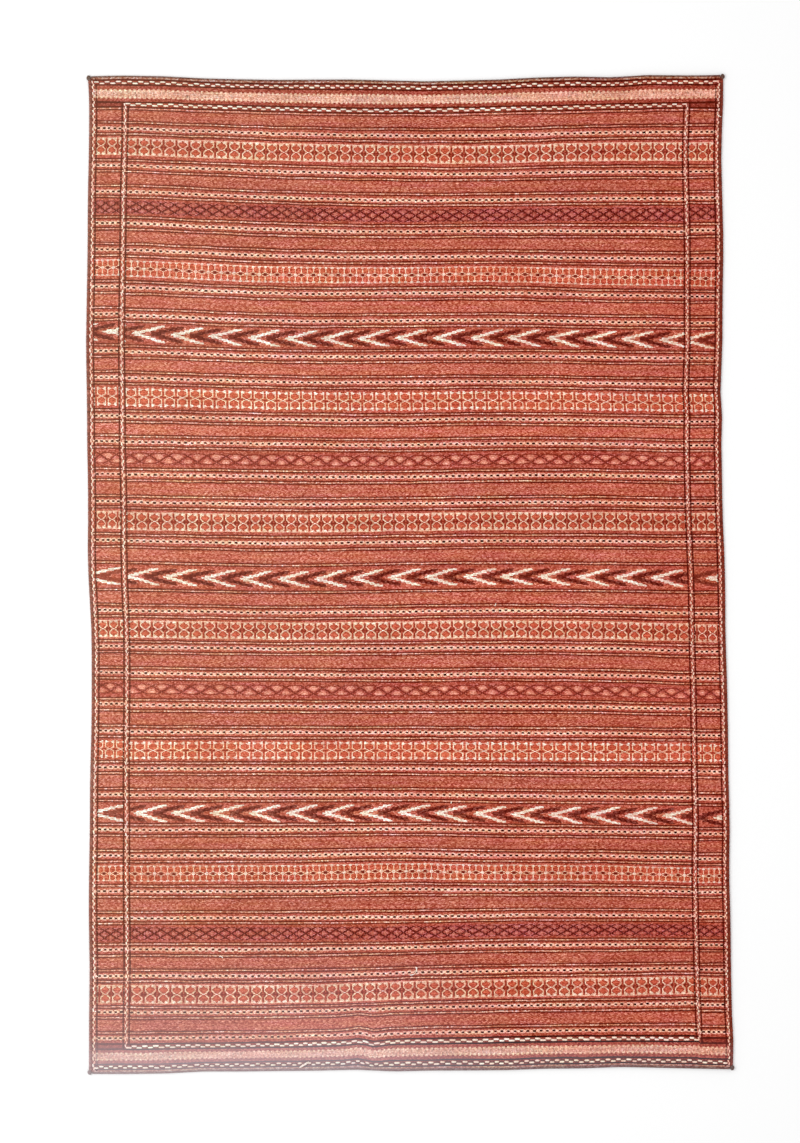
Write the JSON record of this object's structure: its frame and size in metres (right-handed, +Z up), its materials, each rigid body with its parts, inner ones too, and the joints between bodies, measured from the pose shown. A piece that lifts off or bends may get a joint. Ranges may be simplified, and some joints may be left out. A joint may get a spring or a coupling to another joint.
{
  "type": "kilim rug",
  "caption": "Flat-woven wool rug lying flat, with banded motifs, raised twined frame cords, turned hems at the ends, overcast sides and knotted corners.",
  "frame": {"origin": "middle of the rug's outer box, on the underside", "axes": "+Z up out of the patterned face, +Y along the rug towards its top end, +X across it towards the side that its arrows point away from"},
  "size_m": [1.2698, 1.961, 0.0065],
  "materials": {
    "woven_wool": "matt flat-woven wool in madder red with cream, maroon and black figures",
    "overcast_wool": "matt dark brown yarn wrapped closely round the edge",
    "knotted_wool": "matt grey-brown yarn, knotted"
  },
  "bodies": {
    "root": {"kilim_cloth": "woven_wool", "selvedge_left": "overcast_wool", "selvedge_right": "overcast_wool", "knot_top_left": "knotted_wool", "knot_top_right": "knotted_wool", "knot_bottom_left": "knotted_wool", "knot_bottom_right": "knotted_wool"}
  },
  "joints": []
}
